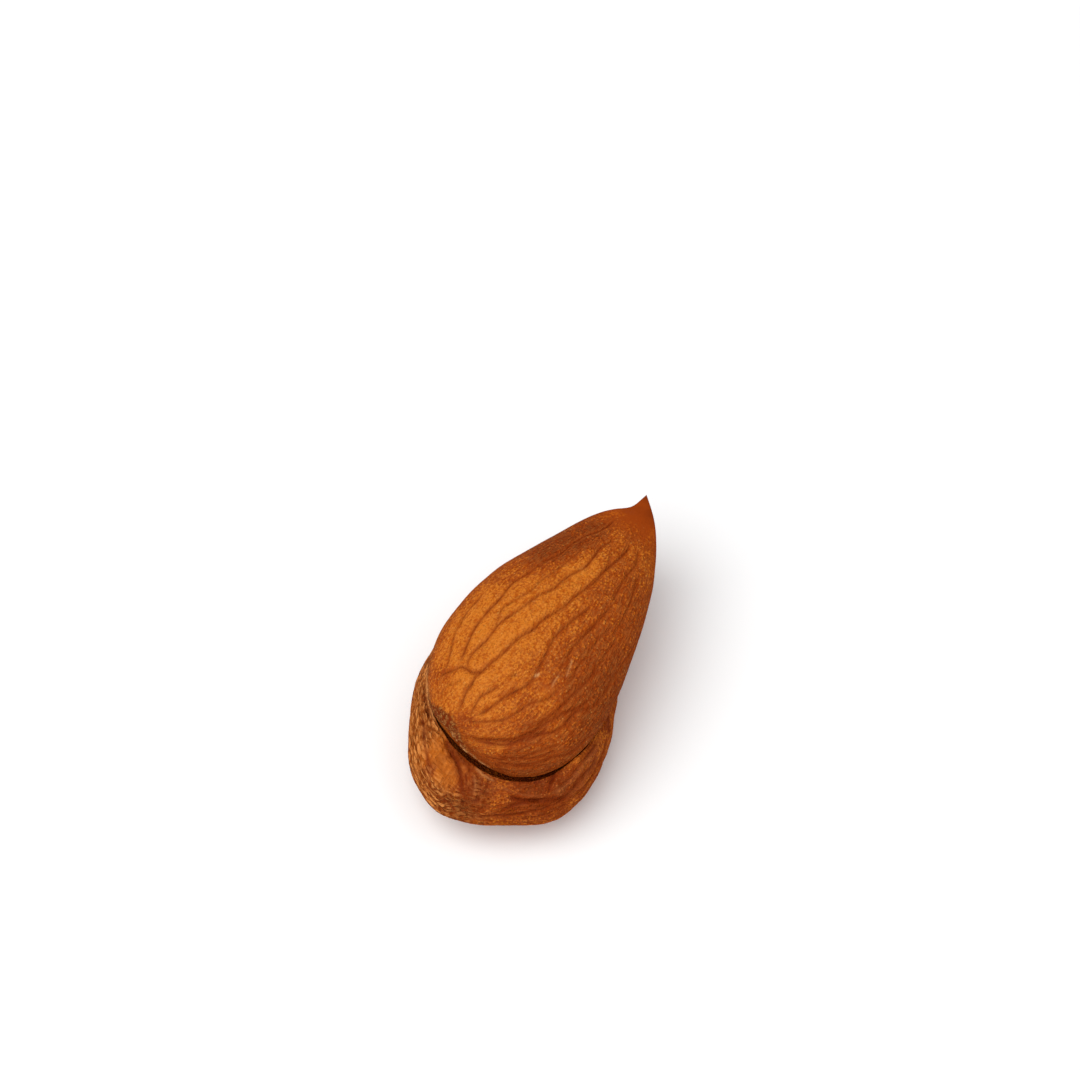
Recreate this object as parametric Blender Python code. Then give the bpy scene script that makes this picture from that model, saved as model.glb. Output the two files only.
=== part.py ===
"""A double almond: two kernels that grew in one shell, lying as they fell out of it.

The lower kernel lies on its convex belly and is hollowed on top, where its twin pressed into it.
The upper kernel lies in that hollow, with its blunt end cupped by the lower kernel's lip.
Metres, +Z up, both tips towards +Y. The origin is under the middle of the pair, on the surface it lies on.
"""

import math

import bpy
import numpy as np

MM = 0.001

# Sizes below are in millimetres. An outline is seen square on, as (across, along). It runs from the
# tip down the left side, round the blunt end and up the right side to the tip again, and "chalaza"
# counts to its point where the veins meet. A kernel's middle plane stands "rise" over the surface at
# its along = 0 and climbs by "tilt". The upper kernel's edge arches off that plane, most at the
# chalaza ("nose"), and the lower kernel's lifts off it towards the tip.
UPPER = {
    "outline": [
        (1.07, 23.85), (0.6, 22.75), (-0.65, 21.5), (-3.25, 17.4), (-5.2, 13.8), (-6.22, 10.2),
        (-6.33, 7.0), (-5.6, 4.6), (-4.6, 3.1), (-3.3, 1.95), (-2.3, 1.42), (-1.2, 1.0), (0.7, 0.6),
        (2.7, 0.7), (4.65, 1.75), (6.05, 3.9), (6.7, 6.6), (6.55, 9.8), (5.97, 13.4), (5.22, 16.6),
        (4.02, 19.8), (2.45, 22.4), (1.07, 23.85),
    ],
    "chalaza": 10,
    "top": 3.35,
    "bottom": 2.6,
    "rise": 5.6,
    "tilt": math.radians(5.0),
    "arch": 0.35,
    "nose": 0.7,
}
LOWER = {
    "outline": [
        (-0.7, 21.2), (-1.5, 20.3), (-3.4, 17.9), (-5.4, 14.4), (-6.75, 10.6), (-7.05, 7.2),
        (-6.65, 4.2), (-5.5, 1.5), (-4.2, -0.65), (-2.6, -2.15), (-0.5, -2.85), (1.7, -2.45),
        (3.8, -1.6), (6.15, 0.0), (7.35, 2.4), (7.5, 5.0), (7.1, 7.4), (6.1, 10.2), (4.5, 14.4),
        (2.6, 17.9), (0.4, 20.4), (-0.7, 21.2),
    ],
    "chalaza": 10,
    "bottom": 3.4,
    "rise": 3.3,
    "tilt": 0.0,
    "lift_from": 8.0,
    "lift": 0.0115,
}

# Both undersides are domes over the outline, centred here. Between the two "blend" places along the
# kernel they go over from a round dome to cross-sections that slim down to the tip.
MIDDLE = np.array([0.0, 9.5])
TIP_SLIMNESS = 0.75
BLEND = (8.0, 12.0)

# The lower kernel holds the upper one a gap below its underside. Its lip stands a little over the
# upper kernel's middle plane, and drops and stands off at the mouth, a bearing in degrees.
GAP = 0.3
LIP_RISE = 0.35
MOUTH = {"bearing": -78.0, "spread": 44.0, "gap": 0.4, "drop": 0.55}
SHOULDER = 1.1

# Veins run from the chalaza to the tip as furrows between low ribs, so many round each kernel.
UPPER_VEINS, UPPER_VEIN_DEPTH = 24, 0.15
LOWER_VEINS, LOWER_VEIN_DEPTH = 22, 0.14
CORK_DEPTH = 0.16
LOWER_SCAR = np.array([0.6, -2.6, 3.3])
RESTING_SPOT = np.array([0.2, 8.6, 0.0])

# The skin of the lip sags in a valley from the mouth down to the rim, and creases under the lip's
# shelf. Bearings in degrees, heights from 0 at the rim to 1 at the crest.
VALLEY = {"at_rim": -80.0, "at_crest": -103.0, "spread": 6.5, "depth": 0.4}
CREASE = {"height": 0.5, "spread": 0.13, "bearing": -62.0, "reach": 38.0, "depth": 0.22}

# The belly is flattened this much where the pair stands, under its weight. The origin is in the
# middle of the footprint.
FLAT_DEPTH = 0.15
BELLY_LOWEST = -0.087
ORIGIN = np.array([0.245, 10.456, BELLY_LOWEST + FLAT_DEPTH])

ROWS_UPPER, COLUMNS_UPPER = 50, 96
ROWS_BELLY, ROWS_SHOULDER, ROWS_HOLLOW, COLUMNS_LOWER = 22, 13, 8, 100


def natural_spline(knots, values, at):
    """The cubic curve through values at knots that bends least."""
    steps = np.diff(knots)
    slopes = np.diff(values, axis=0) / steps[:, None]
    count = len(knots)
    system = np.eye(count)
    bends = np.zeros_like(values)
    for i in range(1, count - 1):
        system[i, i - 1 : i + 2] = steps[i - 1], 2 * (steps[i - 1] + steps[i]), steps[i]
        bends[i] = 6 * (slopes[i] - slopes[i - 1])
    second = np.linalg.solve(system, bends)
    piece = np.clip(np.searchsorted(knots, at, side="right") - 1, 0, count - 2)
    width = steps[piece][..., None]
    ahead = (knots[piece + 1] - at)[..., None]
    behind = (at - knots[piece])[..., None]
    return (
        second[piece] * ahead**3 / (6 * width)
        + second[piece + 1] * behind**3 / (6 * width)
        + (values[piece] / width - second[piece] * width / 6) * ahead
        + (values[piece + 1] / width - second[piece + 1] * width / 6) * behind
    )


def outline_knots(kernel):
    """Share of the outline's length at each of its points."""
    points = np.array(kernel["outline"])
    lengths = np.concatenate([[0], np.cumsum(np.linalg.norm(np.diff(points, axis=0), axis=1))])
    return lengths / lengths[-1]


def outline_at(kernel, share):
    """Points of the outline at shares of its length, from the tip round to the tip."""
    return natural_spline(outline_knots(kernel), np.array(kernel["outline"]), share)


def edges(kernel, u):
    """Left and right edge of the outline at u, from 0 at the chalaza to 1 at the tip."""
    root = outline_knots(kernel)[kernel["chalaza"]]
    return outline_at(kernel, root * (1 - u)), outline_at(kernel, root + (1 - root) * u)


def fullness(u):
    """Share of the full thickness at u: blunt at the chalaza, slim at the tip."""
    return np.sin(np.pi * np.clip(u, 0, 1) ** 0.8) ** (0.75 + 0.35 * u)


def stand(kernel, points):
    """From the kernel's own plane to its place in the pair."""
    across, along, up = np.moveaxis(points, -1, 0)
    cos, sin = math.cos(kernel["tilt"]), math.sin(kernel["tilt"])
    return np.stack([across, along * cos - up * sin, kernel["rise"] + along * sin + up * cos], axis=-1)


def polar(flat):
    """Distance and bearing of flat points from the middle of the pair."""
    from_middle = flat - MIDDLE
    return np.linalg.norm(from_middle, axis=-1), np.arctan2(from_middle[..., 1], from_middle[..., 0])


def reach_of(kernel, bearing):
    """How far the outline lies from the middle at each bearing."""
    distance, around = polar(outline_at(kernel, np.linspace(0, 1, 2000)))
    order = np.argsort(around)
    return np.interp(bearing, around[order], distance[order], period=2 * np.pi)


def width_at(kernel, along):
    """Middle and half width of the outline at places along the kernel, clear of the blunt end."""
    left, right = edges(kernel, np.linspace(0, 1, 1000))
    low = np.interp(along, left[:, 1], left[:, 0])
    high = np.interp(along, right[:, 1], right[:, 0])
    return (low + high) / 2, np.maximum((high - low) / 2, 1e-3)


def smooth_step(value, low, high):
    mix = np.clip((value - low) / (high - low), 0, 1)
    return mix * mix * (3 - 2 * mix)


def dome(kernel, flat):
    """1 at the middle and 0 at the outline, round at the blunt end and slim towards the tip."""
    distance, bearing = polar(flat)
    across, along = np.moveaxis(flat, -1, 0)
    middle, half = width_at(kernel, along)
    tip = kernel["outline"][0][1]
    tipward = np.clip((along - MIDDLE[1]) / (tip - MIDDLE[1]), 0, 1)
    round_end = np.sqrt(np.maximum(1 - (distance / reach_of(kernel, bearing)) ** 2, 0))
    section = np.sqrt(np.maximum(1 - ((across - middle) / half) ** 2, 0))
    mix = smooth_step(along, *BLEND)
    return round_end * (1 - mix) + section * (1 - tipward**2) ** TIP_SLIMNESS * mix


def edge_height(u):
    return UPPER["arch"] * np.sin(np.pi * u) + UPPER["nose"] * np.exp(-((u / 0.12) ** 2))


def upper_surface(u, angle):
    """Upper kernel: arched above in elliptic cross-sections, domed below."""
    left, right = edges(UPPER, u)
    flat = (left + right) / 2 + (right - left) / 2 * np.cos(angle)[..., None]
    above = UPPER["top"] * fullness(u) * np.sin(angle)
    below = -UPPER["bottom"] * dome(UPPER, flat)
    up = edge_height(u) + np.where(np.sin(angle) > 0, above, below)
    return stand(UPPER, np.concatenate([flat, up[..., None]], axis=-1))


def gape(bearing):
    """1 where the two kernels gape at the blunt end, fading to 0 where they touch."""
    off = (np.degrees(bearing) - MOUTH["bearing"] + 180) % 360 - 180
    return np.exp(-((off / MOUTH["spread"]) ** 4))


def held_reach(bearing):
    return reach_of(UPPER, bearing) + GAP + MOUTH["gap"] * gape(bearing)


def hollow_height(distance, bearing):
    """Height of the hollow over the upper kernel's plane, a gap below its underside."""
    over = distance * reach_of(UPPER, bearing) / held_reach(bearing)
    flat = MIDDLE + over[..., None] * np.stack([np.cos(bearing), np.sin(bearing)], axis=-1)
    return -(UPPER["bottom"] + GAP) * dome(UPPER, flat)


def smooth_min(a, b, radius):
    mix = np.clip(0.5 + 0.5 * (b - a) / radius, 0, 1)
    return b * (1 - mix) + a * mix - radius * mix * (1 - mix)


def rim_height(flat):
    """The lower kernel bends up towards its tip."""
    return LOWER["lift"] * np.maximum(flat[..., 1] - LOWER["lift_from"], 0) ** 2


def lip(rim):
    """The lip's crest runs round the upper kernel, or just inside the rim where that is narrower."""
    distance, bearing = polar(rim)
    held = held_reach(bearing)
    kept = smooth_min(held, distance - SHOULDER, 0.6)
    wrapped = np.clip(1 - (held - kept) / 0.8, 0, 1)
    up = hollow_height(kept, bearing) + wrapped * (LIP_RISE - MOUTH["drop"] * gape(bearing))
    return kept, bearing, up


def around_middle(distance, bearing, up):
    flat = MIDDLE + distance[:, None] * np.column_stack([np.cos(bearing), np.sin(bearing)])
    return np.column_stack([flat, up])


def lower_surface(rows_belly, rows_shoulder, rows_hollow, columns):
    """Lower kernel in rings: up the belly to the rim, over the shoulder to the lip, down into the hollow."""
    rim = outline_at(LOWER, np.arange(columns) / columns)
    rings = []
    for k in range(rows_belly):
        share = math.sin(math.pi / 2 * k / (rows_belly - 1))
        flat = MIDDLE + (rim - MIDDLE) * share
        up = rim_height(flat) - LOWER["bottom"] * dome(LOWER, flat)
        rings.append(stand(LOWER, np.column_stack([flat, up])))
    kept, bearing, up = lip(rim)
    crest = stand(UPPER, around_middle(kept, bearing, up))
    for k in range(1, rows_shoulder + 1):
        turn = math.pi / 2 * k / rows_shoulder
        inward = np.array([1 - math.cos(turn), 1 - math.cos(turn), math.sin(turn)])
        rings.append(rings[rows_belly - 1] + (crest - rings[rows_belly - 1]) * inward)
    for k in range(1, rows_hollow + 1):
        share = math.cos(math.pi / 2 * k / rows_hollow)
        level = up - hollow_height(kept, bearing)
        down = hollow_height(kept * share, bearing) + level * share**6
        rings.append(stand(UPPER, around_middle(kept * share, bearing, down)))
    return np.array(rings[::-1])


def pushed(points, amount):
    """The surface moved along its own normals, for rows that run from one pole to the other."""
    down = np.gradient(points, axis=0)
    round_it = np.roll(points, -1, axis=1) - np.roll(points, 1, axis=1)
    normal = np.cross(down, round_it)
    normal /= np.maximum(np.linalg.norm(normal, axis=-1, keepdims=True), 1e-9)
    return points + normal * amount[..., None]


def furrows(turn, count, along):
    """0 on the ribs to 1 in the furrows, each with its own strength along its way."""
    which = np.round(turn * count / (2 * np.pi)) % count
    strength = 0.7 + 0.3 * np.sin(2.4 * which + 7 * along)
    return strength * ((1 + np.cos(count * turn)) / 2) ** 1.5


def cork(points):
    """Corky lumps, as waves that cross at odd angles."""
    x, y, z = np.moveaxis(points, -1, 0)
    lumps = np.sin(5.3 * x + 1.7 * y) + np.sin(4.4 * y - 2.9 * x + 1.3 * z) + np.sin(6.1 * z + 3.1 * x + 2)
    return lumps / 3


def near(points, spot, radius):
    return np.exp(-(((points - spot) ** 2).sum(-1)) / radius**2)


def upper_grid(rows, columns):
    """Rows crowd towards both ends, where the kernel is rounder, and columns drift as the veins do."""
    even = np.linspace(0, 1, rows)
    u = 0.45 * even + 0.55 * (1 - np.cos(np.pi * even)) / 2
    turn = np.linspace(0, 2 * np.pi, columns, endpoint=False)
    u, turn = np.meshgrid(u, turn, indexing="ij")
    drift = 0.05 * np.sin(5.6 * u + 3 * turn) + 0.035 * np.sin(11 * u + 5 * turn + 1)
    return u, turn, turn + drift


def upper_relief(points, u, turn):
    scar = near(points, points[0, 0], 2.2)
    fade = np.clip(np.minimum(u / 0.12, (1 - u) / 0.2), 0, 1) * (1 - scar)
    return CORK_DEPTH * scar * cork(points) - UPPER_VEIN_DEPTH * fade * furrows(turn, UPPER_VEINS, u)


def lower_relief(points):
    """Ribs along the kernel outside the lip, with the valley and the crease below the mouth."""
    inner = np.arange(len(points))[:, None] - ROWS_HOLLOW
    height = np.clip(1 - inner / ROWS_SHOULDER, 0, 1)
    outside = np.clip(inner / 4, 0, 1)
    across, along, up = np.moveaxis(points, -1, 0)
    middle, half = width_at(LOWER, along)
    over_rim = (up - LOWER["rise"] - rim_height(points[..., :2])) / LOWER["bottom"]
    turn = np.arctan2(over_rim, (across - middle) / np.maximum(half, 2))
    turn = turn + 0.07 * np.sin(0.5 * along + 3 * turn) + 0.04 * np.sin(0.9 * along + 5 * turn)
    scar = near(points, LOWER_SCAR, 2.4)
    ends = np.clip((21 - along) / 5, 0, 1) * (1 - scar) * (1 - near(points, RESTING_SPOT, 3.5))
    ribs = LOWER_VEIN_DEPTH * ends * furrows(turn, LOWER_VEINS, 0.05 * along)
    bearing = np.degrees(polar(points[..., :2])[1])
    axis = VALLEY["at_rim"] + (VALLEY["at_crest"] - VALLEY["at_rim"]) * height
    valley = np.exp(-(((bearing - axis) / VALLEY["spread"]) ** 2)) * np.sin(np.pi * (0.1 + 0.8 * height))
    crease = np.exp(-(((height - CREASE["height"]) / CREASE["spread"]) ** 2))
    crease = crease * np.exp(-(((bearing - CREASE["bearing"]) / CREASE["reach"]) ** 4))
    sags = VALLEY["depth"] * valley * (height > 0) + CREASE["depth"] * crease
    return outside * (CORK_DEPTH * scar * cork(points) - ribs - sags)


def mesh_object(name, points):
    """A closed skin over a grid whose first and last rows are single points."""
    rows, columns, _ = points.shape
    vertices = np.concatenate([points[:1, 0], points[1:-1].reshape(-1, 3), points[-1:, 0]])
    last = len(vertices) - 1
    faces = []
    for j in range(columns):
        k = (j + 1) % columns
        faces.append((0, 1 + j, 1 + k))
        for i in range(rows - 3):
            a, b = 1 + i * columns, 1 + (i + 1) * columns
            faces.append((a + j, b + j, b + k, a + k))
        top = 1 + (rows - 3) * columns
        faces.append((last, top + k, top + j))
    mesh = bpy.data.meshes.new(name)
    mesh.from_pydata((vertices * MM).tolist(), [], faces)
    mesh.validate()
    mesh.shade_smooth()
    made = bpy.data.objects.new(name, mesh)
    bpy.context.scene.collection.objects.link(made)
    return made


def skin_material(name, colour, roughness):
    material = bpy.data.materials.new(name)
    material.use_nodes = True
    shader = material.node_tree.nodes["Principled BSDF"]
    shader.inputs["Base Color"].default_value = (*colour, 1)
    shader.inputs["Roughness"].default_value = roughness
    shader.inputs["Metallic"].default_value = 0
    return material


def upper_kernel():
    u, turn, angle = upper_grid(ROWS_UPPER, COLUMNS_UPPER)
    points = upper_surface(u, angle)
    points = pushed(points, upper_relief(points, u, turn)) - ORIGIN
    made = mesh_object("upper_kernel", points)
    made.data.materials.append(skin_material("almond_skin", (0.43, 0.13, 0.02), 0.6))
    return made


def lower_kernel():
    points = lower_surface(ROWS_BELLY, ROWS_SHOULDER, ROWS_HOLLOW, COLUMNS_LOWER)
    points = pushed(points, lower_relief(points)) - ORIGIN
    points[..., 2] = np.maximum(points[..., 2], 0)
    made = mesh_object("lower_kernel", points)
    made.data.materials.append(skin_material("almond_skin_dark", (0.36, 0.1, 0.018), 0.65))
    return made


def main():
    for existing in list(bpy.data.objects):
        bpy.data.objects.remove(existing)
    upper_kernel()
    lower_kernel()


main()
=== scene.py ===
# A double almond: the upper kernel lies in the hollow of the lower one, whose lip cups its blunt end.
import math

import bpy
import numpy as np
from mathutils import Matrix


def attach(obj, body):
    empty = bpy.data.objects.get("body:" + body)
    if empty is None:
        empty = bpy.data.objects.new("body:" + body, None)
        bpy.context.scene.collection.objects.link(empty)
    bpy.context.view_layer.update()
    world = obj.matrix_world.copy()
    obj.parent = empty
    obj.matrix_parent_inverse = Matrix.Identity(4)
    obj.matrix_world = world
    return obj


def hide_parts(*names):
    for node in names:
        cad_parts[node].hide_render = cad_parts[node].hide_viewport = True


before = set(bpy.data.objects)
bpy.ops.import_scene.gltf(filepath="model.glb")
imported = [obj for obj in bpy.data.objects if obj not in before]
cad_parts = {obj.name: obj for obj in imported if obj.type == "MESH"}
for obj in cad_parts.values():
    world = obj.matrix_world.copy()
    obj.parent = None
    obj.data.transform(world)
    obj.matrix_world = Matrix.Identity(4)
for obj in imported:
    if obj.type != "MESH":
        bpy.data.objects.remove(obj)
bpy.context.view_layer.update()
mm = 0.001
print("frame loaded:", ", ".join(sorted(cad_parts)))

# Both kernels are worked out in the pair's own frame, in millimetres, with the tips towards +Y.
# frameOrigin is where the row frame's origin lies in it.
frameOrigin = np.array([0.245, 10.456, 0.063])
pairMiddle = np.array([0.0, 9.5])
domeShape = {"tipSlimness": 0.75, "blend": (8.0, 12.0)}


# Splines, steps and noise

def naturalSpline(knots, values, at):
    # the cubic curve through values at knots that bends least, read at the places in at
    steps = np.diff(knots)
    slopes = np.diff(values, axis=0) / steps[:, None]
    count = len(knots)
    system = np.eye(count)
    bends = np.zeros_like(values)
    for i in range(1, count - 1):
        system[i, i - 1 : i + 2] = steps[i - 1], 2 * (steps[i - 1] + steps[i]), steps[i]
        bends[i] = 6 * (slopes[i] - slopes[i - 1])
    second = np.linalg.solve(system, bends)
    piece = np.clip(np.searchsorted(knots, at, side="right") - 1, 0, count - 2)
    width = steps[piece][..., None]
    ahead = (knots[piece + 1] - at)[..., None]
    behind = (at - knots[piece])[..., None]
    return (
        second[piece] * ahead**3 / (6 * width)
        + second[piece + 1] * behind**3 / (6 * width)
        + (values[piece] / width - second[piece] * width / 6) * ahead
        + (values[piece + 1] / width - second[piece + 1] * width / 6) * behind
    )


def walkedShares(places):
    # how far along its length each place of a path lies, from 0 to 1, and that length
    walked = np.concatenate([[0], np.cumsum(np.linalg.norm(np.diff(places, axis=0), axis=1))])
    return walked / walked[-1], walked[-1]


def smoothStep(value, low, high):
    # 0 below low and 1 above high, eased between them
    mix = np.clip((value - low) / (high - low), 0, 1)
    return mix * mix * (3 - 2 * mix)


def hill(value, width):
    # a bell: 1 where value is 0, falling off with the square over width
    return np.exp(-((value / width) ** 2))


def slopeNoise(places, cell, seed):
    # smooth random heights, about -1 to 1: every corner of a lattice holds a random slope, and a
    # place takes the eased mix of what the slopes of its cell's eight corners give there
    size = 24
    slopes = np.random.default_rng(seed).normal(size=(size, size, size, 3))
    slopes /= np.linalg.norm(slopes, axis=-1, keepdims=True)
    spot = places / cell
    base = np.floor(spot).astype(int)
    inside = spot - base
    ease = inside**3 * (inside * (inside * 6 - 15) + 10)
    total = np.zeros(places.shape[:-1])
    for corner in range(8):
        step = np.array([corner & 1, corner >> 1 & 1, corner >> 2])
        at = (base + step) % size
        slope = slopes[at[..., 0], at[..., 1], at[..., 2]]
        total += np.where(step, ease, 1 - ease).prod(-1) * (slope * (inside - step)).sum(-1)
    return total * 1.7


def creaseNet(places, cell, width, seed):
    # a net of thin lines: 1 where smooth noise crosses zero, falling off beside the crossing
    return hill(slopeNoise(places, cell, seed), width)


# The kernels' outlines and surfaces

# An outline is seen square on, as (across, along), from the tip down the left side, round the blunt
# end and up the right side. The veins meet at its point number "chalaza".
upperShape = {
    "outline": [
        (1.07, 23.85), (0.6, 22.75), (-0.65, 21.5), (-3.25, 17.4), (-5.2, 13.8), (-6.22, 10.2),
        (-6.33, 7.0), (-5.6, 4.6), (-4.6, 3.1), (-3.3, 1.95), (-2.3, 1.42), (-1.2, 1.0), (0.7, 0.6),
        (2.7, 0.7), (4.65, 1.75), (6.05, 3.9), (6.7, 6.6), (6.55, 9.8), (5.97, 13.4), (5.22, 16.6),
        (4.02, 19.8), (2.45, 22.4), (1.07, 23.85),
    ],
    "chalaza": 10,
    "top": 3.35,
    "bottom": 2.6,
    "rise": 5.6,
    "tilt": math.radians(5.0),
    "arch": 0.35,
    "nose": 0.7,
}
lowerShape = {
    "outline": [
        (-0.7, 21.2), (-1.5, 20.3), (-3.4, 17.9), (-5.4, 14.4), (-6.75, 10.6), (-7.05, 7.2),
        (-6.65, 4.2), (-5.5, 1.5), (-4.2, -0.65), (-2.6, -2.15), (-0.5, -2.85), (1.7, -2.45),
        (3.8, -1.6), (6.15, 0.0), (7.35, 2.4), (7.5, 5.0), (7.1, 7.4), (6.1, 10.2), (4.5, 14.4),
        (2.6, 17.9), (0.4, 20.4), (-0.7, 21.2),
    ],
    "chalaza": 10,
    "bottom": 3.4,
    "rise": 3.3,
    "tilt": 0.0,
    "liftFrom": 8.0,
    "lift": 0.0115,
}
# The lip and hollow of the lower kernel. gaps gives the space that shows between the lip and the
# upper kernel at each bearing, in degrees round the pair's middle.
nestShape = {
    "lipRise": 0.35, "shoulder": 1.1, "mouth": -78.0, "mouthSpread": 44.0, "mouthDrop": 0.55,
    "gaps": [(-180, 0.04), (-140, 0.04), (-127, 0.03), (-118, 0.02), (-111, 0.02), (-106, 0.05), (-102, 0.11),
        (-97, 0.13), (-91, 0.15), (-85, 0.17), (-79, 0.16), (-73, 0.15), (-67, 0.14), (-61, 0.15),
        (-55, 0.14), (-49, 0.09), (-43, 0.04), (-37, 0.02), (-31, 0.02), (-25, 0.02), (-17, 0.03),
        (0, 0.04), (90, 0.04), (180, 0.04)],
}


def outlineKnots(kernel):
    return walkedShares(np.array(kernel["outline"]))[0]


def outlineAt(kernel, share):
    # the outline's spline, read at shares of its length
    return naturalSpline(outlineKnots(kernel), np.array(kernel["outline"]), share)


def edgesAt(kernel, u):
    # left and right edge of the outline at u, from 0 at the chalaza to 1 at the tip
    root = outlineKnots(kernel)[kernel["chalaza"]]
    return outlineAt(kernel, root * (1 - u)), outlineAt(kernel, root + (1 - root) * u)


def fullness(u):
    # share of the full thickness: a sine over the length, blunt at the chalaza and slim at the tip
    return np.sin(np.pi * np.clip(u, 0, 1) ** 0.8) ** (0.75 + 0.35 * u)


def standUp(kernel, points):
    # from the kernel's own plane to its place in the pair: tilted about X, then lifted
    across, along, up = np.moveaxis(points, -1, 0)
    cos, sin = math.cos(kernel["tilt"]), math.sin(kernel["tilt"])
    return np.stack([across, along * cos - up * sin, kernel["rise"] + along * sin + up * cos], axis=-1)


def polar(flat):
    # distance and bearing of flat points from the pair's middle
    away = flat - pairMiddle
    return np.linalg.norm(away, axis=-1), np.arctan2(away[..., 1], away[..., 0])


def reachAt(kernel, bearing):
    # how far the outline lies from the middle at each bearing
    distance, around = polar(outlineAt(kernel, np.linspace(0, 1, 3000)))
    order = np.argsort(around)
    return np.interp(bearing, around[order], distance[order], period=2 * np.pi)


def widthAt(kernel, along):
    # middle and half width of the outline at places along the kernel
    left, right = edgesAt(kernel, np.linspace(0, 1, 1500))
    low = np.interp(along, left[:, 1], left[:, 0])
    high = np.interp(along, right[:, 1], right[:, 0])
    return (low + high) / 2, np.maximum((high - low) / 2, 1e-3)


def domeAt(kernel, flat):
    # 1 at the middle and 0 at the outline: a round dome at the blunt end, which goes over to
    # circular cross-sections that slim down to the tip
    distance, bearing = polar(flat)
    across, along = np.moveaxis(flat, -1, 0)
    middle, half = widthAt(kernel, along)
    tip = kernel["outline"][0][1]
    tipward = np.clip((along - pairMiddle[1]) / (tip - pairMiddle[1]), 0, 1)
    roundEnd = np.sqrt(np.maximum(1 - (distance / reachAt(kernel, bearing)) ** 2, 0))
    section = np.sqrt(np.maximum(1 - ((across - middle) / half) ** 2, 0))
    mix = smoothStep(along, *domeShape["blend"])
    return roundEnd * (1 - mix) + section * (1 - tipward**2) ** domeShape["tipSlimness"] * mix


def upperSurface(u, angle):
    # cross-sections at u: half an ellipse above, whose height follows fullness, and the dome below.
    # The edge arches off the plane, most at the chalaza.
    left, right = edgesAt(upperShape, u)
    flat = (left + right) / 2 + (right - left) / 2 * np.cos(angle)[..., None]
    above = upperShape["top"] * fullness(u) * np.sin(angle)
    below = -upperShape["bottom"] * domeAt(upperShape, flat)
    edge = upperShape["arch"] * np.sin(np.pi * u) + upperShape["nose"] * hill(u, 0.12)
    up = edge + np.where(np.sin(angle) > 0, above, below)
    return standUp(upperShape, np.concatenate([flat, up[..., None]], axis=-1))


def gapeAt(bearing):
    # 1 where the lip drops at the mouth, fading to 0 round the sides
    off = (np.degrees(bearing) - nestShape["mouth"] + 180) % 360 - 180
    return np.exp(-((off / nestShape["mouthSpread"]) ** 4))


def gapAt(bearing):
    # the spline through gaps
    knots, gaps = np.array(nestShape["gaps"], float).T
    return np.maximum(naturalSpline(knots, gaps[:, None], np.degrees(bearing))[..., 0], 0.015)


def hollowHeight(distance, bearing):
    # the hollow follows the upper kernel's underside, a gap below it
    gap = gapAt(bearing)
    reach = reachAt(upperShape, bearing)
    over = distance * reach / (reach + gap)
    flat = pairMiddle + over[..., None] * np.stack([np.cos(bearing), np.sin(bearing)], axis=-1)
    return -(upperShape["bottom"] + np.minimum(gap, 0.06)) * domeAt(upperShape, flat)


def smoothMin(a, b, radius):
    mix = np.clip(0.5 + 0.5 * (b - a) / radius, 0, 1)
    return b * (1 - mix) + a * mix - radius * mix * (1 - mix)


def rimHeight(flat):
    # the lower kernel bends up towards its tip, with the square of the way there
    return lowerShape["lift"] * np.maximum(flat[..., 1] - lowerShape["liftFrom"], 0) ** 2


def aroundMiddle(distance, bearing, up):
    flat = pairMiddle + distance[..., None] * np.stack([np.cos(bearing), np.sin(bearing)], axis=-1)
    return np.concatenate([flat, up[..., None]], axis=-1)


def lowerSurface(share, level):
    # share runs round the rim's outline. Level -1 to 0 climbs the belly's dome to the rim, 0 to 1
    # goes over the shoulder in a quarter ellipse to the lip's crest, and 1 to 2 down into the hollow.
    rim = outlineAt(lowerShape, share)
    flat = pairMiddle + (rim - pairMiddle) * np.sin(np.pi / 2 * (1 + np.minimum(level, 0)))[..., None]
    up = rimHeight(flat) - lowerShape["bottom"] * domeAt(lowerShape, flat)
    belly = standUp(lowerShape, np.concatenate([flat, up[..., None]], axis=-1))
    distance, bearing = polar(rim)
    held = reachAt(upperShape, bearing) + gapAt(bearing)
    kept = smoothMin(held, distance - nestShape["shoulder"], 0.6)
    wrapped = np.clip(1 - (held - kept) / 0.8, 0, 1)
    lipUp = hollowHeight(kept, bearing) + wrapped * (
        nestShape["lipRise"] - nestShape["mouthDrop"] * gapeAt(bearing)
    )
    crest = standUp(upperShape, aroundMiddle(kept, bearing, lipUp))
    turn = np.pi / 2 * np.clip(level, 0, 1)[..., None]
    over = np.concatenate([1 - np.cos(turn), 1 - np.cos(turn), np.sin(turn)], axis=-1)
    shoulder = belly + (crest - belly) * over
    inward = np.cos(np.pi / 2 * np.clip(level - 1, 0, 1))
    down = hollowHeight(kept * inward, bearing) + (lipUp - hollowHeight(kept, bearing)) * inward**6
    hollow = standUp(upperShape, aroundMiddle(kept * inward, bearing, down))
    return np.where((level > 1)[..., None], hollow, np.where((level > 0)[..., None], shoulder, belly))


def outwardNormals(points):
    # across the grid's two directions, whose first and last rows are poles
    down = np.gradient(points, axis=0)
    roundIt = np.roll(points, -1, axis=1) - np.roll(points, 1, axis=1)
    normal = np.cross(down, roundIt)
    return normal / np.maximum(np.linalg.norm(normal, axis=-1, keepdims=True), 1e-9)


# Lines on the skin

def splineOn(surface, marks, spacing=0.04):
    # a curve on the surface through marks in its own two parameters, as points a spacing apart
    places = surface(np.array([m[0] for m in marks], float), np.array([m[1] for m in marks], float))
    shares, length = walkedShares(places)
    at = np.linspace(0, 1, max(int(length / spacing), 3))
    return naturalSpline(shares, places, at), at


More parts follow.
